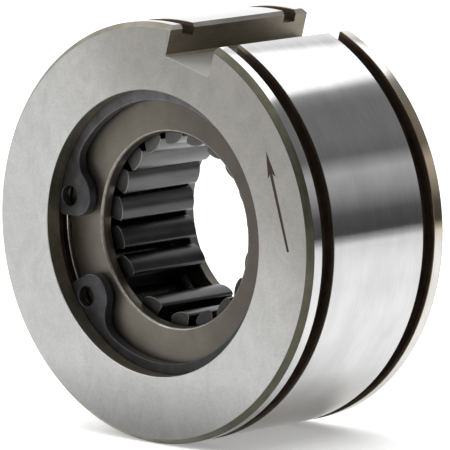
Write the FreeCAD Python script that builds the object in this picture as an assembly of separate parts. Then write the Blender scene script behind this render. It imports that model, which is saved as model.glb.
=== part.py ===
import FreeCAD, Part
import math
import os

# One-way sprag clutch without an inner race: the customer's shaft runs straight on the sprags.
# Millimetres. The clutch axis lies along Y, the front face looks to -Y and +Z is up.
# Heights along the axis are measured from the front face; angles run clockwise from the top
# as seen from the front.

# Outer race
OUTSIDE_RADIUS = 26.0
WIDTH = 25.0
TRACK_RADIUS = 0.6 * OUTSIDE_RADIUS
RIM_CHAMFER_RADIAL = 0.6
RIM_CHAMFER_AXIAL = 0.7
SEAL_GROOVE_SETBACK = 2.2
SEAL_GROOVE_WIDTH = 2.1
SEAL_GROOVE_DEPTH = 1.5
SHOULDER_STEP = 2.05
COUNTERBORE_RADIUS = TRACK_RADIUS + SHOULDER_STEP

# Keyway along the outside
KEYWAY_WIDTH = 7.4
KEYWAY_DEPTH = 4.1
KEYWAY_FLOOR_ROUND = 0.3
KEYWAY_LEFT_FLARE = 0.5
KEYWAY_RIGHT_FLARE = 0.15
KEYWAY_ANGLE = 15.6

# Internal snap rings; their shape follows the radius of the recess they snap into
RING_SETBACK = 2.3
RING_THICKNESS = 1.3
RING_SIDE_PLAY = 0.05
RING_RIM_PLAY = 0.1
RING_GROOVE_RADIUS = 1.048 * COUNTERBORE_RADIUS
RING_BEAM_RADIUS = 0.922 * COUNTERBORE_RADIUS
RING_BEAM_OFFSET = 0.0227 * COUNTERBORE_RADIUS
FRONT_RING_GAP_ANGLE = -102.7
REAR_RING_GAP_ANGLE = 77.3
RING_GAP_HALF_ANGLE = 14.2
LUG_HALF_ANGLE = 23.5
LUG_CENTRE_RADIUS = 0.912 * COUNTERBORE_RADIUS
LUG_LOBE_RADIUS = 0.185 * COUNTERBORE_RADIUS
LUG_NECK_FILLET = 0.17 * COUNTERBORE_RADIUS
LUG_INNER_NOSE_FILLET = 0.136 * COUNTERBORE_RADIUS
LUG_OUTER_NOSE_FILLET = 0.09 * COUNTERBORE_RADIUS
LUG_HOLE_HALF_ANGLE = 22.9
LUG_HOLE_CENTRE_RADIUS = 0.921 * COUNTERBORE_RADIUS
LUG_HOLE_RADIUS = 0.071 * COUNTERBORE_RADIUS

# End plates between the sprags and the snap rings
PLATE_SETBACK = 4.05
PLATE_THICKNESS = 1.6
PLATE_BORE_STEP = 1.65
PLATE_RIM_PLAY = 0.08
PLATE_EDGE_CHAMFER = 0.25

# Sprags, drawn standing at the top: u to the left seen from the front, v outwards from the axis.
# Their section grows with the height they bridge between shaft and track.
SPRAG_COUNT = 18
FIRST_SPRAG_ANGLE = -27.5
SPRAG_PITCH = 18.5
SPRAG_SLACK_AFTER = {6: 13.1, 7: 6.0, 8: 2.3, 12: 5.6}
SPRAG_TIP_RADIUS = 0.4 * OUTSIDE_RADIUS
SPRAG_HEIGHT = TRACK_RADIUS - SPRAG_TIP_RADIUS
SPRAG_TRACK_PLAY = 0.12
SPRAG_PLATE_PLAY = 0.3
OUTER_CAM_RADIUS = 0.5 * SPRAG_HEIGHT
OUTER_CAM_SHIFT = -0.03 * SPRAG_HEIGHT
OUTER_LOBE_LEFT = -0.42 * SPRAG_HEIGHT
OUTER_LOBE_RIGHT = 0.38 * SPRAG_HEIGHT
INNER_CAM_RADIUS = 0.56 * SPRAG_HEIGHT
INNER_CAM_SHIFT = 0.115 * SPRAG_HEIGHT
INNER_LOBE_HALF_WIDTH = 0.29 * SPRAG_HEIGHT
INNER_CORNER_FLAT = 0.05 * SPRAG_HEIGHT
WAIST_RISE = 0.4 * SPRAG_HEIGHT
WAIST_LEFT = -0.27 * SPRAG_HEIGHT
WAIST_RIGHT = 0.245 * SPRAG_HEIGHT

# Garter springs lying in the open notch at each end of the sprags
SPRING_COIL_RADIUS = 0.45
SPRING_SECTION_SIDES = 6
SPRING_SEAT_RADIUS = 0.22 * SPRAG_HEIGHT
SPRING_SEAT_PLAY = 0.06
SPRING_NOTCH_LENGTH = 1.3
SPRING_NOTCH_FLOOR = 0.115 * SPRAG_HEIGHT

AXIS = FreeCAD.Vector(0, 1, 0)
ORIGIN = FreeCAD.Vector(0, 0, 0)

# Positions that several pieces share
HALF_WIDTH = WIDTH / 2
PLATE_BORE_RADIUS = SPRAG_TIP_RADIUS + PLATE_BORE_STEP
KEYWAY_FLOOR_HEIGHT = OUTSIDE_RADIUS - KEYWAY_DEPTH
SHOULDER_SETBACK = PLATE_SETBACK + PLATE_THICKNESS
SPRAG_SETBACK = SHOULDER_SETBACK + SPRAG_PLATE_PLAY
OUTER_CAM_REACH = TRACK_RADIUS - SPRAG_TRACK_PLAY - OUTER_CAM_RADIUS
INNER_CAM_REACH = SPRAG_TIP_RADIUS + INNER_CAM_RADIUS
OUTER_CAM_HEIGHT = math.sqrt(OUTER_CAM_REACH**2 - OUTER_CAM_SHIFT**2)
INNER_CAM_HEIGHT = math.sqrt(INNER_CAM_REACH**2 - INNER_CAM_SHIFT**2)
SPRING_PITCH_RADIUS = OUTER_CAM_REACH + SPRING_SEAT_RADIUS + SPRING_SEAT_PLAY + SPRING_COIL_RADIUS


def turned(shape, angle):
    """Copy of a shape turned clockwise about the clutch axis, as seen from the front."""
    copy = shape.copy()
    copy.rotate(ORIGIN, AXIS, angle)
    return copy


def mirrored(shape):
    """Copy of a front piece reflected to the rear end of the clutch."""
    return shape.mirror(ORIGIN, AXIS)


def revolved(outline):
    """Solid of revolution from (radius, setback from the front face) points."""
    points = [FreeCAD.Vector(radius, setback - HALF_WIDTH, 0) for radius, setback in outline]
    face = Part.Face(Part.makePolygon(points + points[:1]))
    return face.revolve(ORIGIN, AXIS, 360)


def slab(edges, setback, length):
    """Closed outline in the XZ plane, extruded along the axis from a setback."""
    face = Part.Face(Part.Wire(Part.sortEdges(edges)[0]))
    face.translate(FreeCAD.Vector(0, setback - HALF_WIDTH, 0))
    return face.extrude(FreeCAD.Vector(0, length, 0))


def disc(radius, x, z, setback, length):
    """Round solid along the axis."""
    base = FreeCAD.Vector(x, setback - HALF_WIDTH, z)
    return Part.makeCylinder(radius, length, base, AXIS)


def line(start, end):
    return Part.makeLine(start, end)


def arc(start, middle, end):
    return Part.Arc(start, middle, end).toShape()


def race_half_outline():
    """Section of the front half of the outer race, from the middle of its track outwards."""
    groove_start = RING_SETBACK - RING_SIDE_PLAY
    groove_end = RING_SETBACK + RING_THICKNESS + RING_SIDE_PLAY
    seal_start = SEAL_GROOVE_SETBACK
    seal_end = SEAL_GROOVE_SETBACK + SEAL_GROOVE_WIDTH
    seal_floor = OUTSIDE_RADIUS - SEAL_GROOVE_DEPTH
    return [
        (TRACK_RADIUS, HALF_WIDTH),
        (TRACK_RADIUS, SHOULDER_SETBACK),
        (COUNTERBORE_RADIUS, SHOULDER_SETBACK),
        (COUNTERBORE_RADIUS, groove_end),
        (RING_GROOVE_RADIUS, groove_end),
        (RING_GROOVE_RADIUS, groove_start),
        (COUNTERBORE_RADIUS, groove_start),
        (COUNTERBORE_RADIUS, 0),
        (OUTSIDE_RADIUS - RIM_CHAMFER_RADIAL, 0),
        (OUTSIDE_RADIUS, RIM_CHAMFER_AXIAL),
        (OUTSIDE_RADIUS, seal_start),
        (seal_floor, seal_start),
        (seal_floor, seal_end),
        (OUTSIDE_RADIUS, seal_end),
        (OUTSIDE_RADIUS, HALF_WIDTH),
    ]


def keyway_cutter():
    """Slot with rounded floor corners, flared where its walls break through the outside."""
    half = KEYWAY_WIDTH / 2
    floor = KEYWAY_FLOOR_HEIGHT
    round_off = KEYWAY_FLOOR_ROUND
    arc_dip = round_off * (1 - math.sqrt(0.5))
    rim = math.sqrt(OUTSIDE_RADIUS**2 - half**2)
    top = OUTSIDE_RADIUS + KEYWAY_LEFT_FLARE

    def spot(x, z):
        return FreeCAD.Vector(x, 0, z)

    edges = [line(spot(-half + round_off, floor), spot(half - round_off, floor))]
    lips = []
    for side, depth in ((-1, KEYWAY_LEFT_FLARE), (1, KEYWAY_RIGHT_FLARE)):
        foot = spot(side * (half - round_off), floor)
        bend = spot(side * (half - arc_dip), floor + arc_dip)
        wall = spot(side * half, floor + round_off)
        shoulder = spot(side * half, rim - depth)
        lip = spot(side * (half + top - shoulder.z), top)
        edges.append(arc(foot, bend, wall))
        edges.append(line(wall, shoulder))
        edges.append(line(shoulder, lip))
        lips.append(lip)
    edges.append(line(*lips))
    return turned(slab(edges, 0, WIDTH), KEYWAY_ANGLE)


def outer_race():
    """Hardened ring with track, end recesses, snap ring grooves, seal grooves and keyway."""
    front = race_half_outline()
    rear = [(radius, WIDTH - setback) for radius, setback in reversed(front)]
    return revolved(front[1:-1] + rear[1:-1]).cut(keyway_cutter())


def snap_ring():
    """Internal snap ring with its gap at the top: a thinning beam that ends in two drilled lugs."""
    rim = RING_GROOVE_RADIUS - RING_RIM_PLAY
    blank = disc(rim, 0, 0, RING_SETBACK, RING_THICKNESS)
    opening = disc(RING_BEAM_RADIUS, 0, RING_BEAM_OFFSET, RING_SETBACK, RING_THICKNESS)
    ring = blank.cut(opening)
    lug = disc(LUG_LOBE_RADIUS, 0, LUG_CENTRE_RADIUS, RING_SETBACK, RING_THICKNESS)
    for side in (-1, 1):
        ring = ring.fuse(turned(lug, side * LUG_HALF_ANGLE).common(blank))
    ring = ring.removeSplitter()
    necks = [edge for edge in ring.Edges if is_neck(edge)]
    ring = ring.makeFillet(LUG_NECK_FILLET, necks)
    ring = ring.cut(ring_gap_wedge(rim))
    inner_noses = [edge for edge in ring.Edges if is_nose(edge) and not on_rim(edge)]
    ring = ring.makeFillet(LUG_INNER_NOSE_FILLET, inner_noses)
    outer_noses = [edge for edge in ring.Edges if is_nose(edge) and on_rim(edge)]
    ring = ring.makeFillet(LUG_OUTER_NOSE_FILLET, outer_noses)
    hole = disc(LUG_HOLE_RADIUS, 0, LUG_HOLE_CENTRE_RADIUS, RING_SETBACK, RING_THICKNESS)
    for side in (-1, 1):
        ring = ring.cut(turned(hole, side * LUG_HOLE_HALF_ANGLE))
    return ring


def runs_along_axis(edge):
    start, end = edge.Vertexes[0].Point, edge.Vertexes[-1].Point
    return abs(end.y - start.y) > RING_THICKNESS / 2


def is_neck(edge):
    """Axial edge where a lug lobe leaves the inside of the beam."""
    spot = edge.CenterOfMass
    inside_rim = math.hypot(spot.x, spot.z) < RING_BEAM_RADIUS + RING_BEAM_OFFSET
    return runs_along_axis(edge) and inside_rim


def is_nose(edge):
    """Axial edge at a corner of a lug's end face."""
    spot = edge.CenterOfMass
    angle = abs(math.degrees(math.atan2(spot.x, spot.z)))
    return runs_along_axis(edge) and abs(angle - RING_GAP_HALF_ANGLE) < 0.1


def on_rim(edge):
    spot = edge.CenterOfMass
    return math.hypot(spot.x, spot.z) > COUNTERBORE_RADIUS


def ring_gap_wedge(rim):
    """Wedge that opens the ring between the ends of its lugs."""
    reach = 2 * rim
    half = math.radians(RING_GAP_HALF_ANGLE)
    left = FreeCAD.Vector(-reach * math.sin(half), 0, reach * math.cos(half))
    right = FreeCAD.Vector(reach * math.sin(half), 0, reach * math.cos(half))
    edges = [line(ORIGIN, left), line(left, right), line(right, ORIGIN)]
    return slab(edges, RING_SETBACK, RING_THICKNESS)


def end_plate():
    """Flat hardened washer on the shoulder beside the track, edges broken on its outer face."""
    rim = COUNTERBORE_RADIUS - PLATE_RIM_PLAY
    bore = PLATE_BORE_RADIUS
    edge = PLATE_EDGE_CHAMFER
    front = PLATE_SETBACK
    rear = PLATE_SETBACK + PLATE_THICKNESS
    return revolved([
        (bore + edge, front),
        (rim - edge, front),
        (rim, front + edge),
        (rim, rear),
        (bore, rear),
        (bore, front + edge),
    ])


def sprag_spot(u, v):
    """Point of the sprag outline; the sprag stands at the top of the clutch."""
    return FreeCAD.Vector(-u, 0, v)


def outer_cam_spot(u):
    rise = math.sqrt(OUTER_CAM_RADIUS**2 - (u - OUTER_CAM_SHIFT) ** 2)
    return sprag_spot(u, OUTER_CAM_HEIGHT + rise)


def inner_cam_spot(u):
    drop = math.sqrt(INNER_CAM_RADIUS**2 - (u - INNER_CAM_SHIFT) ** 2)
    return sprag_spot(u, INNER_CAM_HEIGHT - drop)


def sprag_blank():
    """Waisted prism between an inner and an outer cam whose centres are offset."""
    outer_left = outer_cam_spot(OUTER_LOBE_LEFT)
    outer_right = outer_cam_spot(OUTER_LOBE_RIGHT)
    flank_foot = INNER_LOBE_HALF_WIDTH
    cam_end = INNER_LOBE_HALF_WIDTH - INNER_CORNER_FLAT
    lift = INNER_CORNER_FLAT
    cam_right = inner_cam_spot(cam_end)
    cam_left = inner_cam_spot(-cam_end)
    foot_right = sprag_spot(flank_foot, cam_right.z + lift)
    foot_left = sprag_spot(-flank_foot, cam_left.z + lift)
    waist_left = sprag_spot(WAIST_LEFT, SPRAG_TIP_RADIUS + WAIST_RISE)
    waist_right = sprag_spot(WAIST_RIGHT, SPRAG_TIP_RADIUS + WAIST_RISE)
    edges = [
        arc(outer_left, outer_cam_spot(OUTER_CAM_SHIFT), outer_right),
        line(outer_right, waist_right),
        line(waist_right, foot_right),
        line(foot_right, cam_right),
        arc(cam_right, inner_cam_spot(INNER_CAM_SHIFT), cam_left),
        line(cam_left, foot_left),
        line(foot_left, waist_left),
        line(waist_left, outer_left),
    ]
    return slab(edges, SPRAG_SETBACK, WIDTH - 2 * SPRAG_SETBACK)


def spring_notch():
    """Cut at the front end of a sprag, leaving a round seat about the outer cam's centre."""
    floor = OUTER_CAM_HEIGHT + SPRING_NOTCH_FLOOR
    seat_half = math.sqrt(SPRING_SEAT_RADIUS**2 - SPRING_NOTCH_FLOOR**2)
    seat_left = sprag_spot(OUTER_CAM_SHIFT - seat_half, floor)
    seat_top = sprag_spot(OUTER_CAM_SHIFT, OUTER_CAM_HEIGHT + SPRING_SEAT_RADIUS)
    seat_right = sprag_spot(OUTER_CAM_SHIFT + seat_half, floor)
    floor_left = sprag_spot(-OUTER_CAM_RADIUS, floor)
    floor_right = sprag_spot(OUTER_CAM_RADIUS, floor)
    sky_left = sprag_spot(-OUTER_CAM_RADIUS, TRACK_RADIUS)
    sky_right = sprag_spot(OUTER_CAM_RADIUS, TRACK_RADIUS)
    edges = [
        arc(seat_left, seat_top, seat_right),
        line(seat_right, floor_right),
        line(floor_right, sky_right),
        line(sky_right, sky_left),
        line(sky_left, floor_left),
        line(floor_left, seat_left),
    ]
    return slab(edges, SPRAG_SETBACK, SPRING_NOTCH_LENGTH)


def sprag():
    notch = spring_notch()
    return sprag_blank().cut(notch).cut(mirrored(notch))


def sprag_angles():
    """Clock angles of the sprags; their free room has gathered after some of them."""
    angles = []
    angle = FIRST_SPRAG_ANGLE
    for number in range(1, SPRAG_COUNT + 1):
        angles.append(angle)
        angle -= SPRAG_PITCH + SPRAG_SLACK_AFTER.get(number, 0)
    return angles


def garter_spring():
    """Envelope of the closed coil that presses the sprags inwards, with a flat-sided section."""
    middle = SPRAG_SETBACK + SPRING_NOTCH_LENGTH / 2
    outline = []
    for side in range(SPRING_SECTION_SIDES):
        angle = 2 * math.pi * (side + 0.5) / SPRING_SECTION_SIDES
        radius = SPRING_PITCH_RADIUS + SPRING_COIL_RADIUS * math.cos(angle)
        outline.append((radius, middle + SPRING_COIL_RADIUS * math.sin(angle)))
    return revolved(outline)


def build():
    ring = snap_ring()
    plate = end_plate()
    spring = garter_spring()
    nodes = {
        "outer_race": outer_race(),
        "front_snap_ring": turned(ring, FRONT_RING_GAP_ANGLE),
        "rear_snap_ring": turned(mirrored(ring), REAR_RING_GAP_ANGLE),
        "front_end_plate": plate,
        "rear_end_plate": mirrored(plate),
        "front_garter_spring": spring,
        "rear_garter_spring": mirrored(spring),
    }
    upright = sprag()
    for number, angle in enumerate(sprag_angles(), start=1):
        nodes["sprag_%02d" % number] = turned(upright, angle)
    return nodes


os.makedirs("parts", exist_ok=True)
for name, shape in build().items():
    shape.exportStep("parts/" + name + ".step")
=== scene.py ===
import math

import bmesh
import bpy
from mathutils import Matrix, Vector


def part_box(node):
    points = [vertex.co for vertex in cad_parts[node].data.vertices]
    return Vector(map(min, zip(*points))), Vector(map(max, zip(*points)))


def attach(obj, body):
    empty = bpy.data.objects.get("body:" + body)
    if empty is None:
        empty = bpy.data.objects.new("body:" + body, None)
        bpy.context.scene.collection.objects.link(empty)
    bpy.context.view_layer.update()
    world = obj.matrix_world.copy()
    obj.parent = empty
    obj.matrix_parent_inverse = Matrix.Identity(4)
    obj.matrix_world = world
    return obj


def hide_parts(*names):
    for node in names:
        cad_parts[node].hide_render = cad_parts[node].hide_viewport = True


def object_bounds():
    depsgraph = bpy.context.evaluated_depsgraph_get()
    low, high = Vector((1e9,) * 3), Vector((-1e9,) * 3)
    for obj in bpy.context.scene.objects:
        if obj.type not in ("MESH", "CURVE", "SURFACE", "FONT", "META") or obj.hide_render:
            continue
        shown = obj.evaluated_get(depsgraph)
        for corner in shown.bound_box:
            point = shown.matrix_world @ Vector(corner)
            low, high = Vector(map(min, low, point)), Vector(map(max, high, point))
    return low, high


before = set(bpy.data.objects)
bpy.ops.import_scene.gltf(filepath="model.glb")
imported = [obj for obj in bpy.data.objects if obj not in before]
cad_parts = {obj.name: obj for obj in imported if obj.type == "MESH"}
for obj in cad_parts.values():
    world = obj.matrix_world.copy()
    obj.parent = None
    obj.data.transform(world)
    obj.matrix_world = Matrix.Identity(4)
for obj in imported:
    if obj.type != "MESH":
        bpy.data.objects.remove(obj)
cad_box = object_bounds()

MM = 0.001

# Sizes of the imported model, in millimetres: the clutch axis is Y and the front face looks to -Y.
# Setbacks are measured from the front face, clock angles clockwise from the top seen from the front.
OUTSIDE_RADIUS = 26.0
WIDTH = 25.0
HALF_WIDTH = WIDTH / 2
TRACK_RADIUS = 15.6
RIM_CHAMFER_RADIAL = 0.6
RIM_CHAMFER_AXIAL = 0.7
SEAL_GROOVE_START = 2.2
SEAL_GROOVE_END = 4.3
SEAL_GROOVE_RADIUS = 24.5
COUNTERBORE_RADIUS = 17.65
SHOULDER_SETBACK = 5.65
RING_GROOVE_START = 2.25
RING_GROOVE_END = 3.65
RING_GROOVE_RADIUS = 18.5
KEYWAY_HALF_WIDTH = 3.7
KEYWAY_FLOOR_HEIGHT = 21.9
KEYWAY_FLOOR_ROUND = 0.3
KEYWAY_FLARES = {"left": 0.5, "right": 0.15}
KEYWAY_ANGLE = 15.6
PLATE_SETBACK = 4.05
PLATE_BORE_RADIUS = 12.05
PLATE_RIM_RADIUS = 17.57
PLATE_EDGE_CHAMFER = 0.25
SPRAG_COUNT = 18

# Trim that only this script adds; its lengths are in millimetres
EDGE_BREAK = 0.07
GROOVE_LIP = 0.45
RING_EDGE_ROUND = 0.12
SPRAG_EDGE_ROUND = 0.1
SPRING_WIRE_RADIUS = 0.09
SPRING_TURNS = 300

# How finely the shapes are drawn
TURNED_STEPS = 240
ROUND_STEPS = 3
KEYWAY_ROUND_STEPS = 4
SPRING_STEPS_PER_TURN = 7

# Above these limits an edge is sharp, a turn in a section is a corner (by its sine), and a face is
# an end face (by its normal along Y)
SHARP_ANGLE = math.radians(32)
CORNER_SINE = 0.5
END_FACE_NORMAL = 0.99

# Below these limits two faces count as one flat, and two vertices as one
FLAT_ANGLE = math.radians(0.5)
MERGE_DISTANCE = 0.001 * MM

# How strongly the largest faces at a vertex set its normal, and the step in area between sizes
NORMAL_WEIGHT = 60
NORMAL_AREA_STEP = 0.01 * MM**2

# How far the keyway's cutter reaches past the ends and the outside of the race, in millimetres
CUTTER_OVERRUN = 1.0
CUTTER_RISE = 2.0

# The direction arrow on the front face: radii and clock angles read off the photograph
ARROW_TIP = (22.33, 57.6)
ARROW_TAIL = (22.41, 89.8)
ARROW_HEAD_LENGTH = 3.3
ARROW_HEAD_WIDTH = 1.3
ARROW_NOTCH = 0.45
ARROW_STEM_WIDTH = (0.46, 0.36)
ARROW_LIFT = 0.006

# Camera of the photograph: it sees the clutch from the right of its front face, slightly from above.
# Its distance and offsets from the middle of that face are in millimetres, its clip in metres.
CAMERA_AZIMUTH = math.radians(42.38)
CAMERA_ELEVATION = math.radians(8.56)
CAMERA_DISTANCE = 840.1
CAMERA_ASIDE = 9.00
CAMERA_RAISED = 1.08
CAMERA_LENS = 550.5
CAMERA_SENSOR_WIDTH = 36
CAMERA_CLIP = (0.01, 20)

# Surroundings: brightness by height of the direction, and a white backdrop behind the clutch
SKY_STRENGTH = 2.0
SKY_TILT = -0.094
SKY_LEVELS = (
    (-0.19, 0.50), (-0.16, 0.03), (0.00, 0.06), (0.14, 0.20), (0.26, 0.28), (0.36, 0.09),
    (0.46, 0.11), (0.60, 0.11), (0.642, 0.16), (0.654, 1.0),
)
BACKDROP_DIRECTION = (-0.667, 0.731, 0.149)
BACKDROP_FADE = (0.79, 0.84)
BACKDROP_LEVEL = 0.6

# Studio paper: its near and far end and its left and right side, in metres from the clutch, then
# the gap below the clutch and the distances over which it darkens and fades out, in millimetres
PAPER_ENDS = (-0.9, 2.4)
PAPER_SIDES = (-0.8, 0.5)
PAPER_GAP = 0.02
PAPER_SHADE_REACH = 200.0
PAPER_FADE_REACH = 500.0
PAPER_GLOW = 0.3

# Words for the materials: directions as (x, z), and the limits between which a noise mostly stays
WHITE = (1.0, 1.0, 1.0)
UPWARDS = (0.0, 1.0)
RIGHTWARDS = (1.0, 0.0)
NOISE_RANGE = (0.3, 0.7)
NOISE_MIDDLE = (0.35, 0.65)
WEAR_RANGE = (0.35, 0.6)


def setback_to_y(setback):
    return (setback - HALF_WIDTH) * MM


def clock_point(radius, angle, y):
    """Point at a clock angle in degrees; radius in millimetres, y in metres."""
    turn = math.radians(angle)
    return Vector((radius * math.sin(turn) * MM, y, radius * math.cos(turn) * MM))


# Materials


def new_node(tree, kind, *inputs, **settings):
    """Shader node with its inputs linked or set in order; None leaves one as it is."""
    node = tree.nodes.new("ShaderNode" + kind)
    for key, value in settings.items():
        setattr(node, key, value)
    for socket, value in zip(node.inputs, inputs):
        if isinstance(value, bpy.types.NodeSocket):
            tree.links.new(value, socket)
        elif value is not None:
            socket.default_value = value
    return node


def set_stops(node, stops):
    """Stops of a colour ramp as (place, value); a value is a grey level or an RGB triple."""
    elements = node.color_ramp.elements
    while len(elements) < len(stops):
        elements.new(0.5)
    for element, (place, value) in zip(elements, stops):
        element.position = place
        colour = (value, value, value) if isinstance(value, float) else value
        element.color = (*colour, 1.0)


class Finish:
    """A node material in the making. Its shader is a metal unless told otherwise."""

    def __init__(self, name, metallic=1.0):
        self.material = bpy.data.materials.new(name)
        self.material.use_nodes = True
        self.tree = self.material.node_tree
        self.shader = self.tree.nodes["Principled BSDF"]
        self.shader.inputs["Metallic"].default_value = metallic
        self.position = new_node(self.tree, "TexCoord").outputs["Object"]

    def add(self, kind, *inputs, **settings):
        """First output of a new node."""
        return new_node(self.tree, kind, *inputs, **settings).outputs[0]

    def math(self, operation, first, second=None):
        return self.add("Math", first, second, operation=operation)

    def axes(self):
        """Position along X, Y and Z, in millimetres."""
        split = new_node(self.tree, "SeparateXYZ", self.position)
        return [self.math("DIVIDE", output, MM) for output in split.outputs]

    def scaled(self, *scales):
        """Position along X, Y and Z in millimetres, each times its scale."""
        return [self.math("MULTIPLY", axis, scale) for axis, scale in zip(self.axes(), scales)]

    def spread(self, *scales):
        """Coordinates for a texture, with a scale for each axis."""
        return self.add("CombineXYZ", *self.scaled(*scales))

    def along(self, *direction):
        """Distance along a direction, in millimetres."""
        x, y, z = self.scaled(*direction)
        return self.math("ADD", self.math("ADD", x, y), z)

    def turned(self, across, along):
        """Coordinates for marks left by turning: many across the cut, few along it."""
        x, y, z = self.axes()
        square = self.math("ADD", self.math("MULTIPLY", x, x), self.math("MULTIPLY", z, z))
        return self.add(
            "CombineXYZ",
            self.math("MULTIPLY", self.math("SQRT", square), across),
            self.math("MULTIPLY", self.math("ARCTAN2", x, z), along),
            self.math("MULTIPLY", y, across),
        )

    def noise(self, coordinates, detail=3.0, roughness=0.55, distortion=0.0):
        node = new_node(self.tree, "TexNoise", coordinates)
        node.inputs["Scale"].default_value = 1.0
        node.inputs["Detail"].default_value = detail
        node.inputs["Roughness"].default_value = roughness
        node.inputs["Distortion"].default_value = distortion
        return node.outputs[0]

    def ramp(self, factor, *stops):
        """Colour ramp from (place, value) stops."""
        node = new_node(self.tree, "ValToRGB", factor)
        set_stops(node, stops)
        return node.outputs[0]

    def between(self, factor, low, high, limits=NOISE_RANGE):
        """Ramp from low to high between two limits of the factor."""
        return self.ramp(factor, (limits[0], low), (limits[1], high))

    def mix(self, factor, first, second, blend="MIX"):
        return self.add("MixRGB", factor, first, second, blend_type=blend)

    def multiply(self, first, second):
        return self.mix(1.0, first, second, "MULTIPLY")

    def fade(self, colour, towards, *stops):
        """Colour tinted along the direction (x, z); places go from 0 to 1 across the clutch."""
        along = self.along(towards[0], 0.0, towards[1])
        place = self.math("DIVIDE", self.math("ADD", along, OUTSIDE_RADIUS), 2 * OUTSIDE_RADIUS)
        return self.multiply(colour, self.ramp(place, *stops))

    def link(self, output, socket):
        self.tree.links.new(output, self.shader.inputs[socket])

    def colour(self, output, fading=None):
        """Base colour; fading is a direction and the stops of a tint along it."""
        self.link(self.fade(output, *fading) if fading else output, "Base Color")

    def roughness(self, output):
        self.link(output, "Roughness")

    def bump(self, height, strength, distance):
        """Relief from a height output; distance in millimetres."""
        node = new_node(self.tree, "Bump")
        node.inputs["Strength"].default_value = strength
        node.inputs["Distance"].default_value = distance * MM
        self.tree.links.new(height, node.inputs["Height"])
        self.link(node.outputs[0], "Normal")

    def brush_round_axis(self, amount):
        """Stretch highlights across circumferential grinding lines."""
        self.link(self.add("Tangent", direction_type="RADIAL", axis="Y"), "Tangent")
        self.shader.inputs["Anisotropic"].default_value = amount
        self.shader.inputs["Anisotropic Rotation"].default_value = 0.25


def lapped_face():
    """Satin end face: mottled grain and clouds, with painted shade that makes it darker and warmer
    towards the keyway and darker at its foot.
    """
    finish = Finish("lapped_face")
    grain = finish.noise(finish.spread(5.0, 5.0, 5.0), detail=4.0, roughness=0.85)
    patches = finish.noise(finish.spread(0.28, 0.28, 0.2), detail=5.0, roughness=0.7, distortion=1.0)
    clouds = finish.noise(finish.spread(0.1, 0.1, 0.1), detail=3.0, roughness=0.5)
    # painted shade: the face darkens and warms towards the keyway, mixed with random clouds
    towards_keyway = finish.along(0.023, 0.0, 0.031)
    drift = finish.math("ADD", towards_keyway, finish.math("MULTIPLY", clouds, 0.3))
    clouds_and_painted_shade = finish.ramp(
        drift, (0.15, (0.53, 0.53, 0.52)), (0.45, (0.47, 0.465, 0.45)),
        (0.75, (0.345, 0.335, 0.315)), (0.95, (0.31, 0.30, 0.28)),
    )
    mottled = finish.multiply(clouds_and_painted_shade, finish.between(patches, 0.80, 0.98, NOISE_MIDDLE))
    grained = finish.multiply(mottled, finish.between(grain, 0.76, 1.0))
    # painted shade: the foot of the face is darker
    finish.colour(grained, (UPWARDS, (0.03, 0.5), (0.17, 1.0)))
    finish.roughness(finish.between(patches, 0.36, 0.52))
    finish.bump(grain, 0.35, 0.012)
    return finish.material


def ground_outside(name, low, high, upper_side=WHITE):
    """Bright cylindrically ground surface with fine lines round the axis.

    Its foot is darker and browner, a painted reflection of the shaded floor, and the upper side,
    below the top, can have a tint of its own.
    """
    finish = Finish(name)
    lines = finish.noise(finish.turned(9.0, 2.5), detail=3.0, roughness=0.6)
    clouds = finish.noise(finish.spread(0.15, 0.3, 0.15), detail=2.0)
    shade = finish.between(clouds, low, high, NOISE_MIDDLE)
    streaked = finish.multiply(shade, finish.between(lines, 0.9, 1.0))
    # painted reflection of the shaded floor: darker and browner at the foot
    finish.colour(streaked, (
        UPWARDS, (0.05, (0.46, 0.44, 0.40)), (0.19, WHITE), (0.47, WHITE),
        (0.53, upper_side), (0.80, upper_side), (0.86, WHITE),
    ))
    finish.roughness(finish.between(lines, 0.06, 0.1))
    finish.bump(lines, 0.06, 0.003)
    finish.brush_round_axis(0.35)
    return finish.material


def dark_turned(name, low, high, roughness=(0.35, 0.5), fading=None):
    """Turned surface that was hardened but never ground, so it keeps a dark colour."""
    finish = Finish(name)
    lines = finish.noise(finish.turned(5.0, 2.0), detail=4.0, roughness=0.65)
    clouds = finish.noise(finish.spread(0.5, 0.5, 0.5), detail=3.0, roughness=0.6)
    blend = finish.mix(0.5, lines, clouds)
    finish.colour(finish.between(blend, low, high, NOISE_MIDDLE), fading)
    finish.roughness(finish.between(lines, *roughness))
    finish.bump(lines, 0.3, 0.02)
    return finish.material


def milled(name, low, high, metallic=1.0):
    """Broached keyway surface, with cutting marks along the axis and painted shade that darkens its
    middle, so its ends are lighter.
    """
    finish = Finish(name, metallic=metallic)
    lines = finish.noise(finish.spread(4.0, 0.3, 4.0), detail=4.0, roughness=0.6)
    clouds = finish.noise(finish.spread(0.35, 0.2, 0.35), detail=3.0)
    shade = finish.between(finish.mix(0.5, lines, clouds), low, high, NOISE_MIDDLE)
    _, y, _ = finish.axes()
    setback = finish.math("DIVIDE", finish.math("ADD", y, HALF_WIDTH), WIDTH)
    # painted shade: darker in the middle of the keyway's length, lighter towards both ends
    ends = finish.ramp(setback, (0.05, 1.0), (0.2, 0.8), (0.5, 0.66), (0.9, 0.9))
    finish.colour(finish.multiply(shade, ends))
    finish.roughness(finish.between(lines, 0.38, 0.5))
    finish.bump(lines, 0.3, 0.015)
    return finish.material


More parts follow.
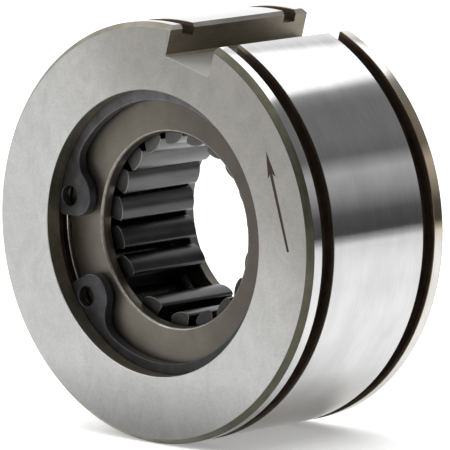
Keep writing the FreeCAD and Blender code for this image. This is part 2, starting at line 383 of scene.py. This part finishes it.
def plate_face():
    """Fine turned washer face, with painted shade that makes it darker on the side turned away from
    the window.
    """
    finish = Finish("plate_face")
    lines = finish.noise(finish.turned(5.0, 2.0), detail=3.0, roughness=0.6)
    clouds = finish.noise(finish.spread(0.4, 0.4, 0.4), detail=3.0, roughness=0.6)
    blend = finish.mix(0.65, lines, clouds)
    shade = finish.between(blend, (0.15, 0.137, 0.115), (0.19, 0.173, 0.146), NOISE_MIDDLE)
    # painted shade: darker towards the right, the side turned away from the window
    finish.colour(shade, ((1.0, 0.25), (0.22, 1.0), (0.5, 0.72), (0.66, 0.5), (0.85, 0.44)))
    finish.roughness(finish.between(lines, 0.38, 0.48))
    finish.bump(lines, 0.15, 0.01)
    return finish.material


def blackened_steel(name, low, high, roughness, fading=None):
    """Blackened spring steel, slightly uneven, with a soft sheen."""
    finish = Finish(name, metallic=0.85)
    grain = finish.noise(finish.spread(6.0, 6.0, 6.0), detail=4.0, roughness=0.65)
    clouds = finish.noise(finish.spread(0.6, 0.6, 0.6), detail=3.0)
    blend = finish.mix(0.35, clouds, grain)
    finish.colour(finish.between(blend, low, high, NOISE_MIDDLE), fading)
    finish.roughness(finish.between(grain, *roughness))
    finish.bump(grain, 0.3, 0.015)
    return finish.material


def snap_ring_steel(name, low, high):
    """Blackened steel with painted shade: darkest low down, brightest above the bore."""
    # painted shade: darker low down, full brightness only above the bore
    fading = (UPWARDS, (0.15, 0.28), (0.35, 0.5), (0.66, 0.5), (0.74, 1.0))
    return blackened_steel(name, low, high, (0.34, 0.52), fading)


def sprag_steel(name, low, high, roughness=(0.28, 0.34)):
    """Hard cam steel, polished along its length and clouded a little, with painted shade that
    darkens it low down.
    """
    finish = Finish(name)
    lines = finish.noise(finish.spread(5.0, 0.2, 5.0), detail=2.0, roughness=0.4)
    clouds = finish.noise(finish.spread(0.4, 0.12, 0.4), detail=2.0)
    shade = finish.between(finish.mix(0.2, clouds, lines), low, high, NOISE_MIDDLE)
    # painted shade: darker low down
    finish.colour(shade, (UPWARDS, (0.34, 0.45), (0.44, 0.34), (0.52, 0.75), (0.62, 1.0)))
    finish.roughness(finish.between(clouds, *roughness))
    finish.bump(lines, 0.05, 0.003)
    return finish.material


def worn_edge(name, low, high, roughness=(0.2, 0.4)):
    """Edge rubbed brighter and smoother than the surfaces beside it, patchy along its length."""
    finish = Finish(name)
    patches = finish.noise(finish.spread(1.2, 1.2, 1.2), detail=4.0, roughness=0.7)
    finish.colour(finish.between(patches, low, high, WEAR_RANGE))
    smoothest, roughest = roughness
    finish.roughness(finish.between(patches, roughest, smoothest, WEAR_RANGE))
    finish.bump(patches, 0.2, 0.02)
    return finish.material


def arrow_ink():
    """Dark etched marking with thin spots."""
    finish = Finish("etched_mark", metallic=0.0)
    finish.shader.inputs["Specular IOR Level"].default_value = 0.15
    specks = finish.noise(finish.spread(9.0, 9.0, 9.0), detail=3.0, roughness=0.7)
    finish.colour(finish.ramp(specks, (0.4, (0.022, 0.010, 0.009)), (0.75, (0.06, 0.034, 0.032))))
    finish.roughness(finish.between(specks, 0.4, 0.6))
    finish.bump(specks, 0.2, 0.01)
    return finish.material


def paper(aside):
    """Matt studio paper with a painted glow that lifts its shadows; to the side given painted shade
    darkens it, then it fades out.
    """
    finish = Finish("studio_paper", metallic=0.0)
    fibre = finish.noise(finish.spread(0.4, 0.4, 0.4), detail=3.0)
    across = finish.along(aside.x, aside.y, 0.0)
    # painted shade: the paper and its glow darken away to the side, as light that falls off
    shade = finish.ramp(
        finish.math("DIVIDE", across, PAPER_SHADE_REACH), (0.1, 1.0), (0.35, 0.83), (0.85, 0.7)
    )
    fading = finish.ramp(
        finish.math("DIVIDE", across, PAPER_FADE_REACH), (0.34, 1.0), (0.52, 0.5), (0.98, 0.0)
    )
    finish.colour(finish.multiply(finish.between(fibre, 0.88, 0.9), shade))
    finish.roughness(finish.between(fibre, 0.8, 0.9))
    finish.link(fading, "Alpha")
    # painted light: the paper glows a little, lifting its shadows
    finish.link(shade, "Emission Color")
    finish.shader.inputs["Emission Strength"].default_value = PAPER_GLOW
    return finish.material


# Shapes


def new_mesh(name, vertices, faces, materials, slots=None):
    """Mesh with its materials; slots gives each face the number of its material."""
    mesh = bpy.data.meshes.new(name)
    mesh.from_pydata(vertices, [], faces)
    for material in materials:
        mesh.materials.append(material)
    if slots:
        mesh.polygons.foreach_set("material_index", slots)
    return mesh


def place(name, shape, body):
    """Object for a finished mesh or curve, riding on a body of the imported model."""
    piece = bpy.data.objects.new(name, shape)
    bpy.context.scene.collection.objects.link(piece)
    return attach(piece, body)


def place_instead(name, mesh, body, node):
    """Smooth piece in place of a CAD node; flat faces beside its round edges look flat."""
    mesh.polygons.foreach_set("use_smooth", [True] * len(mesh.polygons))
    mesh.set_sharp_from_angle(angle=SHARP_ANGLE)
    mesh.update()
    piece = place(name, mesh, body)
    modifier = piece.modifiers.new("even_normals", "WEIGHTED_NORMAL")
    modifier.keep_sharp = True
    modifier.weight = NORMAL_WEIGHT
    modifier.thresh = NORMAL_AREA_STEP
    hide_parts(node)


def outward(mesh):
    """Turn every face of a closed mesh to look outwards."""
    shape = bmesh.new()
    shape.from_mesh(mesh)
    bmesh.ops.recalc_face_normals(shape, faces=shape.faces)
    shape.to_mesh(mesh)
    shape.free()


def merged_shape(mesh):
    """Editable copy of a mesh, with vertices on the same spot made one."""
    shape = bmesh.new()
    shape.from_mesh(mesh)
    bmesh.ops.remove_doubles(shape, verts=shape.verts, dist=MERGE_DISTANCE)
    return shape


def broken_corners(outline, size, flats):
    """Outline of (radius, setback, finish) with a small flat on every corner that stands out.

    A flat has the finish of the stretch after it, or the one that flats gives in its place.
    """
    result = []
    for index, (radius, setback, own) in enumerate(outline):
        here = Vector((radius, setback))
        before = Vector(outline[index - 1][:2]) - here
        after = Vector(outline[(index + 1) % len(outline)][:2]) - here
        turn_sine = (before.y * after.x - before.x * after.y) / (before.length * after.length)
        if turn_sine <= CORNER_SINE:
            result.append((radius, setback, own))
            continue
        first = here + before.normalized() * size
        second = here + after.normalized() * size
        result.append((first.x, first.y, flats.get(own, own)))
        result.append((second.x, second.y, own))
    return result


def mirrored_outline(outline):
    """The same outline at the other end, still running the same way round."""
    mirrored = []
    for index in range(len(outline) - 1, -1, -1):
        radius, setback, _ = outline[index]
        mirrored.append((radius, WIDTH - setback, outline[index - 1][2]))
    return mirrored


def turned_mesh(name, outline, finishes):
    """Ring turned from a closed outline; a stretch takes the finish of the point that starts it."""
    names = list(finishes)
    vertices = []
    for step in range(TURNED_STEPS):
        angle = 360 * step / TURNED_STEPS
        for radius, setback, _ in outline:
            vertices.append(clock_point(radius, angle, setback_to_y(setback)))
    faces = []
    slots = []
    count = len(outline)
    for step in range(TURNED_STEPS):
        here = step * count
        there = (step + 1) % TURNED_STEPS * count
        for index, (_, _, finish) in enumerate(outline):
            following = (index + 1) % count
            faces.append((here + index, there + index, there + following, here + following))
            slots.append(names.index(finish))
    return new_mesh(name, vertices, faces, finishes.values(), slots)


def race_half_outline():
    """Front half of the race's section, from the track to the land between the seal grooves."""
    lip_radius = OUTSIDE_RADIUS - GROOVE_LIP
    return [
        (TRACK_RADIUS, SHOULDER_SETBACK, "recess"),
        (COUNTERBORE_RADIUS, SHOULDER_SETBACK, "recess"),
        (COUNTERBORE_RADIUS, RING_GROOVE_END, "ring_groove"),
        (RING_GROOVE_RADIUS, RING_GROOVE_END, "groove"),
        (RING_GROOVE_RADIUS, RING_GROOVE_START, "groove"),
        (COUNTERBORE_RADIUS, RING_GROOVE_START, "recess"),
        (COUNTERBORE_RADIUS, 0.0, "face"),
        (OUTSIDE_RADIUS - RIM_CHAMFER_RADIAL, 0.0, "chamfer"),
        (OUTSIDE_RADIUS, RIM_CHAMFER_AXIAL, "ground"),
        (OUTSIDE_RADIUS, SEAL_GROOVE_START, "groove_lip"),
        (lip_radius, SEAL_GROOVE_START, "groove"),
        (SEAL_GROOVE_RADIUS, SEAL_GROOVE_START, "groove"),
        (SEAL_GROOVE_RADIUS, SEAL_GROOVE_END, "groove"),
        (lip_radius, SEAL_GROOVE_END, "groove_lip"),
        (OUTSIDE_RADIUS, SEAL_GROOVE_END, "ground"),
    ]


def race_outline():
    """Both halves of the section, closed by the track; the rear land has its own finish."""
    front = race_half_outline()
    rear = mirrored_outline(front)
    for index, (radius, setback, finish) in enumerate(rear):
        if finish == "ground" and setback > WIDTH - SEAL_GROOVE_END:
            rear[index] = (radius, setback, "rear_land")
    rear[-1] = (*rear[-1][:2], "track")
    return front + rear


def keyway_side(flare, grow):
    """Right half of the keyway section as (x, z, finish), from the middle of its floor upwards."""
    half = KEYWAY_HALF_WIDTH + grow
    floor = KEYWAY_FLOOR_HEIGHT - grow
    edge = math.sqrt(OUTSIDE_RADIUS**2 - KEYWAY_HALF_WIDTH**2) - flare
    side = [(0.0, floor, "keyway_floor")]
    for step in range(KEYWAY_ROUND_STEPS + 1):
        turn = math.radians(90 * step / KEYWAY_ROUND_STEPS)
        across = half - KEYWAY_FLOOR_ROUND * (1 - math.sin(turn))
        height = floor + KEYWAY_FLOOR_ROUND * (1 - math.cos(turn))
        side.append((across, height, "keyway_wall"))
    side.append((half, edge, "keyway_flare"))
    side.append((half + CUTTER_RISE, edge + CUTTER_RISE, "keyway_flare"))
    return side


def keyway_section(grow):
    """Closed outline of the keyway; a stretch takes the finish of the point that starts it."""
    outline = keyway_side(KEYWAY_FLARES["right"], grow)
    left = keyway_side(KEYWAY_FLARES["left"], grow)
    for index in range(len(left) - 1, 0, -1):
        x, z, _ = left[index]
        outline.append((-x, z, left[index - 1][2]))
    return outline


def keyway_cutter(finishes):
    """Closed cutter whose ends widen, so that the keyway's end edges are broken too.

    The stretches between stations where it widens take the finish of the end face.
    """
    names = list(finishes)
    stations = [
        (-CUTTER_OVERRUN, EDGE_BREAK), (0.0, EDGE_BREAK), (EDGE_BREAK, 0.0),
        (WIDTH - EDGE_BREAK, 0.0), (WIDTH, EDGE_BREAK), (WIDTH + CUTTER_OVERRUN, EDGE_BREAK),
    ]
    widening = (1, 3)
    turn = Matrix.Rotation(math.radians(KEYWAY_ANGLE), 4, "Y")
    vertices = []
    for setback, grow in stations:
        outline = keyway_section(grow)
        for x, z, _ in outline:
            vertices.append(turn @ Vector((x * MM, setback_to_y(setback), z * MM)))
    count = len(outline)
    faces = []
    slots = []
    for station in range(len(stations) - 1):
        here = station * count
        there = here + count
        for index, (_, _, finish) in enumerate(outline):
            following = (index + 1) % count
            faces.append((here + index, here + following, there + following, there + index))
            slots.append(names.index("face" if station in widening else finish))
    faces.append(tuple(range(count))[::-1])
    faces.append(tuple(range(len(vertices) - count, len(vertices))))
    slots += [names.index("keyway_wall")] * 2
    return new_mesh("keyway_cutter", vertices, faces, finishes.values(), slots)


def cut(mesh, cutter):
    """Mesh with the cutter's volume taken out of it."""
    outward(mesh)
    outward(cutter)
    blank = bpy.data.objects.new("blank", mesh)
    tool = bpy.data.objects.new("tool", cutter)
    for helper in (blank, tool):
        bpy.context.scene.collection.objects.link(helper)
    modifier = blank.modifiers.new("cut", "BOOLEAN")
    modifier.operation = "DIFFERENCE"
    modifier.solver = "EXACT"
    modifier.object = tool
    evaluated = blank.evaluated_get(bpy.context.evaluated_depsgraph_get())
    result = bpy.data.meshes.new_from_object(evaluated)
    bpy.data.objects.remove(blank)
    bpy.data.objects.remove(tool)
    return result


def outer_race(finishes):
    """Race turned from its section, with the keyway cut into it."""
    flats = {"ring_groove": "edge", "ground": "chamfer", "rear_land": "groove_lip"}
    outline = broken_corners(race_outline(), EDGE_BREAK, flats)
    mesh = cut(turned_mesh("outer_race_blank", outline, finishes), keyway_cutter(finishes))
    mesh.name = "race"
    place_instead("race", mesh, "outer_race", "outer_race")


def end_plate(end, finishes):
    """Washer with a bright broken edge round its bore on the outer side."""
    front = PLATE_SETBACK
    rear = SHOULDER_SETBACK
    edge = PLATE_EDGE_CHAMFER
    outline = [
        (PLATE_BORE_RADIUS + edge, front, "flat"),
        (PLATE_RIM_RADIUS - edge, front, "edge"),
        (PLATE_RIM_RADIUS, front + edge, "wall"),
        (PLATE_RIM_RADIUS, rear, "flat"),
        (PLATE_BORE_RADIUS, rear, "wall"),
        (PLATE_BORE_RADIUS, front + edge, "edge"),
    ]
    if end == "rear":
        outline = mirrored_outline(outline)
    outline = broken_corners(outline, EDGE_BREAK, dict.fromkeys(finishes, "line"))
    mesh = turned_mesh(end + "_plate", outline, finishes)
    outward(mesh)
    place_instead(end + "_plate", mesh, "outer_race", end + "_end_plate")


def eased_copy(node, name, body, width, finishes):
    """Copy of a CAD node with finishes for its sides, its rounded edges and its two ends."""
    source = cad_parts[node].data
    corners = [vertex.co.copy() for vertex in source.vertices]
    mesh = new_mesh(name, corners, [tuple(face.vertices) for face in source.polygons], finishes)
    shape = merged_shape(mesh)
    bmesh.ops.dissolve_limit(
        shape, angle_limit=FLAT_ANGLE, verts=shape.verts, edges=shape.edges
    )
    side_slot, edge_slot, end_slot = range(3)
    for face in shape.faces:
        face.material_index = end_slot if abs(face.normal.y) > END_FACE_NORMAL else side_slot
    sharp = [e for e in shape.edges if e.is_manifold and e.calc_face_angle() > SHARP_ANGLE]
    bmesh.ops.bevel(
        shape, geom=sharp, offset=width * MM, segments=ROUND_STEPS, profile=0.5,
        affect="EDGES", material=edge_slot, clamp_overlap=True,
    )
    shape.to_mesh(mesh)
    shape.free()
    place_instead(name, mesh, body, node)


def rim_edges(cap):
    """Edges round a flat cap as vertex pairs that keep the winding of its faces."""
    pairs = []
    for face in cap:
        for loop in face.loops:
            others = [f for f in loop.edge.link_faces if f in cap]
            if len(others) == 1:
                pairs.append((loop.vert, loop.link_loop_next.vert))
    return pairs


def inset_directions(pairs):
    """For each rim vertex of a cap that looks to -Y, the step that moves both its edges inwards."""
    sides = {}
    for start, end in pairs:
        inwards = Vector((0, -1, 0)).cross((end.co - start.co).normalized())
        sides.setdefault(start, []).append(inwards)
        sides.setdefault(end, []).append(inwards)
    return {vertex: (a + b) / (1 + a.dot(b)) for vertex, (a, b) in sides.items()}


def flat_copy(node, name, body, width, surface, edge):
    """Copy of a flat CAD piece, drawn again from its front outline with rounded rims."""
    shape = merged_shape(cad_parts[node].data)
    front = min(vertex.co.y for vertex in shape.verts)
    back = max(vertex.co.y for vertex in shape.verts)
    on_front = {v for v in shape.verts if v.co.y - front < MERGE_DISTANCE}
    cap = [face for face in shape.faces if on_front.issuperset(face.verts)]
    pairs = rim_edges(cap)
    steps = inset_directions(pairs)
    stations = []
    for step in range(ROUND_STEPS + 1):
        turn = math.radians(90 * step / ROUND_STEPS)
        inset = width * MM * (1 - math.sin(turn))
        drop = width * MM * (1 - math.cos(turn))
        stations.append((inset, front + drop))
    stations += [(inset, front + back - y) for inset, y in reversed(stations)]
    first = {vertex: index * len(stations) for index, vertex in enumerate(steps)}
    vertices = []
    for vertex, step in steps.items():
        for inset, y in stations:
            spot = vertex.co + step * inset
            vertices.append((spot.x, y, spot.z))
    last = len(stations) - 1
    faces = [[first[v] for v in face.verts] for face in cap]
    faces += [[first[v] + last for v in reversed(face.verts)] for face in cap]
    surface_slot, edge_slot = range(2)
    slots = [surface_slot] * len(faces)
    for start, end in pairs:
        for station in range(last):
            a, b = first[start] + station, first[end] + station
            faces.append((b, a, a + 1, b + 1))
            slots.append(surface_slot if station == ROUND_STEPS else edge_slot)
    shape.free()
    mesh = new_mesh(name, vertices, faces, (surface, edge), slots)
    outward(mesh)
    place_instead(name, mesh, body, node)


def garter_spring(end, material):
    """Closed coil lying in the notches at one end of the sprags."""
    low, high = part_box(end + "_garter_spring")
    coil_radius = (high.y - low.y) / 2 - SPRING_WIRE_RADIUS * MM
    pitch_radius = high.x - coil_radius - SPRING_WIRE_RADIUS * MM
    middle = (high.y + low.y) / 2
    curve = bpy.data.curves.new(end + "_spring", "CURVE")
    curve.dimensions = "3D"
    curve.bevel_depth = SPRING_WIRE_RADIUS * MM
    curve.bevel_resolution = 1
    spline = curve.splines.new("POLY")
    count = SPRING_TURNS * SPRING_STEPS_PER_TURN
    spline.points.add(count - 1)
    for index in range(count):
        around = 2 * math.pi * index / count
        coil = around * SPRING_TURNS
        radius = pitch_radius + coil_radius * math.cos(coil)
        y = middle + coil_radius * math.sin(coil)
        spline.points[index].co = (radius * math.sin(around), y, radius * math.cos(around), 1)
    spline.use_cyclic_u = True
    curve.materials.append(material)
    piece = place(end + "_spring", curve, "sprag_complement")
    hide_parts(end + "_garter_spring")


def direction_arrow(material):
    """Thin straight arrow marked on the front face; it points counter-clockwise."""
    y = setback_to_y(-ARROW_LIFT)
    tip = clock_point(*ARROW_TIP, y)
    tail = clock_point(*ARROW_TAIL, y)
    along = (tail - tip).normalized()
    across = along.cross(Vector((0, 1, 0)))

    def spot(distance, offset):
        return tip + (along * distance + across * offset) * MM

    half_head = ARROW_HEAD_WIDTH / 2
    half_front, half_back = (width / 2 for width in ARROW_STEM_WIDTH)
    stem_start = ARROW_HEAD_LENGTH - ARROW_NOTCH
    stem_end = (tail - tip).length / MM
    vertices = [
        spot(0, 0),
        spot(ARROW_HEAD_LENGTH, half_head),
        spot(stem_start, half_front),
        spot(stem_start, -half_front),
        spot(ARROW_HEAD_LENGTH, -half_head),
        spot(stem_end, half_back),
        spot(stem_end, -half_back),
    ]
    faces = [(0, 1, 2), (0, 2, 3), (0, 3, 4), (2, 5, 6, 3)]
    place("direction_arrow", new_mesh("direction_arrow", vertices, faces, [material]), "outer_race")


# Studio


def studio_floor():
    """Pale paper running away from the camera, wider on the side the front face looks to."""
    forward = Vector((-math.sin(CAMERA_AZIMUTH), math.cos(CAMERA_AZIMUTH), 0))
    aside = Vector((math.cos(CAMERA_AZIMUTH), math.sin(CAMERA_AZIMUTH), 0))
    ground = Vector((0, 0, cad_box[0][2] - PAPER_GAP * MM))
    near, far = PAPER_ENDS
    left, right = PAPER_SIDES
    corners = []
    for distance, offset in ((near, left), (near, right), (far, right), (far, left)):
        corners.append(ground + forward * distance + aside * offset)
    mesh = new_mesh("studio_floor", corners, [(0, 1, 2, 3)], [paper(aside)])
    floor = bpy.data.objects.new("studio_floor", mesh)
    bpy.context.scene.collection.objects.link(floor)


def studio_sky():
    """Soft surroundings: dim low down, a white ceiling with a sharp border, a white backdrop.

    Seen directly they are white all round, as the paper is.
    """
    world = bpy.data.worlds.new("studio")
    world.use_nodes = True
    tree = world.node_tree
    background = tree.nodes["Background"]
    background.inputs["Strength"].default_value = SKY_STRENGTH

    def add(kind, *inputs, **settings):
        return new_node(tree, kind, *inputs, **settings)

    direction = add("TexCoord").outputs["Generated"]
    split = add("SeparateXYZ", direction)
    height = add(
        "Math", split.outputs["X"], SKY_TILT, split.outputs["Z"], operation="MULTIPLY_ADD"
    )
    place_in_ramp = add("MapRange", height.outputs[0], -1.0, 1.0)
    ramp = add("ValToRGB", place_in_ramp.outputs[0])
    set_stops(ramp, [((z + 1) / 2, level) for z, level in SKY_LEVELS])
    behind = add("VectorMath", direction, BACKDROP_DIRECTION, operation="DOT_PRODUCT")
    backdrop = add("MapRange", behind.outputs["Value"], *BACKDROP_FADE)
    seen = add("LightPath").outputs["Is Camera Ray"]
    white = add("Math", backdrop.outputs[0], seen, operation="MAXIMUM")
    backdrop_colour = (BACKDROP_LEVEL, BACKDROP_LEVEL, BACKDROP_LEVEL, 1)
    lit = add("MixRGB", white.outputs[0], ramp.outputs[0], backdrop_colour)
    tree.links.new(lit.outputs[0], background.inputs["Color"])
    bpy.context.scene.world = world


def soft_light(name, azimuth, elevation, distance, size, power):
    """Square area light aimed at the clutch, from a direction in degrees."""
    turn, rise = math.radians(azimuth), math.radians(elevation)
    towards = Vector((
        math.sin(turn) * math.cos(rise), -math.cos(turn) * math.cos(rise), math.sin(rise)
    ))
    light = bpy.data.lights.new(name, "AREA")
    light.shape = "SQUARE"
    light.size = size
    light.energy = power
    lamp = bpy.data.objects.new(name, light)
    lamp.location = towards * distance
    lamp.rotation_euler = towards.to_track_quat("Z", "Y").to_euler()
    bpy.context.scene.collection.objects.link(lamp)


def camera():
    """Camera of the photograph, as the scene's own."""
    azimuth, elevation = CAMERA_AZIMUTH, CAMERA_ELEVATION
    right = Vector((math.cos(azimuth), math.sin(azimuth), 0))
    up = Vector((
        -math.sin(azimuth) * math.sin(elevation),
        math.cos(azimuth) * math.sin(elevation),
        math.cos(elevation),
    ))
    back = right.cross(up)
    view = bpy.data.cameras.new("camera")
    view.lens = CAMERA_LENS
    view.sensor_width = CAMERA_SENSOR_WIDTH
    view.clip_start, view.clip_end = CAMERA_CLIP
    shooter = bpy.data.objects.new("camera", view)
    face_centre = Vector((0, setback_to_y(0), 0))
    offset = right * CAMERA_ASIDE + up * CAMERA_RAISED + back * CAMERA_DISTANCE
    shooter.location = face_centre + offset * MM
    shooter.rotation_euler = (-back).to_track_quat("-Z", "Y").to_euler()
    bpy.context.scene.collection.objects.link(shooter)
    bpy.context.scene.camera = shooter


# The clutch

race_finishes = {
    "face": lapped_face(),
    "ground": ground_outside("ground_outside", (0.60, 0.60, 0.60), (0.67, 0.67, 0.67)),
    "rear_land": ground_outside(
        "rear_land", (0.64, 0.62, 0.58), (0.72, 0.705, 0.68), upper_side=(0.98, 0.84, 0.64)
    ),
    # painted shade: the chamfer darkens towards the right, the side turned away from the window
    "chamfer": dark_turned(
        "olive_chamfer", (0.19, 0.178, 0.14), (0.33, 0.31, 0.255),
        fading=(RIGHTWARDS, (0.35, WHITE), (0.75, (0.29, 0.30, 0.27))),
    ),
    "groove": dark_turned("dark_groove", (0.045, 0.033, 0.026), (0.10, 0.073, 0.055), (0.5, 0.65)),
    # the ring groove's wall is turned steel like the recess, coloured near black as a painted shadow
    # between the snap ring and the plate
    "ring_groove": dark_turned("ring_groove", (0.035, 0.03, 0.024), (0.08, 0.068, 0.055)),
    "groove_lip": dark_turned("brown_groove_lip", (0.13, 0.10, 0.075), (0.24, 0.19, 0.14)),
    "recess": dark_turned("olive_recess", (0.17, 0.155, 0.115), (0.30, 0.275, 0.215)),
    "track": dark_turned("ground_track", (0.12, 0.115, 0.11), (0.20, 0.195, 0.19), (0.2, 0.3)),
    "keyway_floor": milled("keyway_floor", (0.20, 0.20, 0.175), (0.26, 0.26, 0.235), metallic=0.0),
    "keyway_wall": milled("keyway_wall", (0.23, 0.20, 0.155), (0.34, 0.30, 0.24)),
    "keyway_flare": milled("keyway_flare", (0.42, 0.39, 0.36), (0.52, 0.49, 0.46)),
    "edge": worn_edge("bright_edge", (0.22, 0.21, 0.19), (0.46, 0.44, 0.41)),
}
outer_race(race_finishes)

plate_finishes = {
    "flat": plate_face(),
    "wall": dark_turned("plate_wall", (0.11, 0.095, 0.08), (0.20, 0.18, 0.15)),
    "edge": worn_edge("plate_edge", (0.15, 0.138, 0.118), (0.21, 0.195, 0.168), (0.34, 0.44)),
    "line": worn_edge("plate_line", (0.17, 0.16, 0.14), (0.26, 0.245, 0.215), (0.3, 0.4)),
}
ring_finishes = (
    snap_ring_steel("oxide_ring", (0.064, 0.064, 0.068), (0.122, 0.121, 0.128)),
    snap_ring_steel("oxide_ring_edge", (0.09, 0.088, 0.09), (0.16, 0.157, 0.16)),
)
spring_finish = blackened_steel("spring_wire", (0.12, 0.115, 0.11), (0.24, 0.23, 0.22), (0.32, 0.5))
for end in ("front", "rear"):
    end_plate(end, plate_finishes)
    flat_copy(end + "_snap_ring", end + "_ring", "outer_race", RING_EDGE_ROUND, *ring_finishes)
    garter_spring(end, spring_finish)

sprag_finishes = (
    sprag_steel("sprag_cam", (0.10, 0.098, 0.10), (0.15, 0.148, 0.15)),
    sprag_steel("sprag_edge", (0.19, 0.186, 0.178), (0.25, 0.244, 0.235), (0.3, 0.4)),
    sprag_steel("sprag_end", (0.065, 0.063, 0.062), (0.10, 0.098, 0.096), (0.4, 0.5)),
)
for number in range(1, SPRAG_COUNT + 1):
    node = "sprag_%02d" % number
    eased_copy(node, node + "_cam", node, SPRAG_EDGE_ROUND, sprag_finishes)

direction_arrow(arrow_ink())

studio_floor()
studio_sky()
soft_light("left_softbox", azimuth=-50, elevation=28, distance=0.9, size=0.5, power=2.5)
camera()
bpy.context.scene.view_settings.view_transform = "Standard"
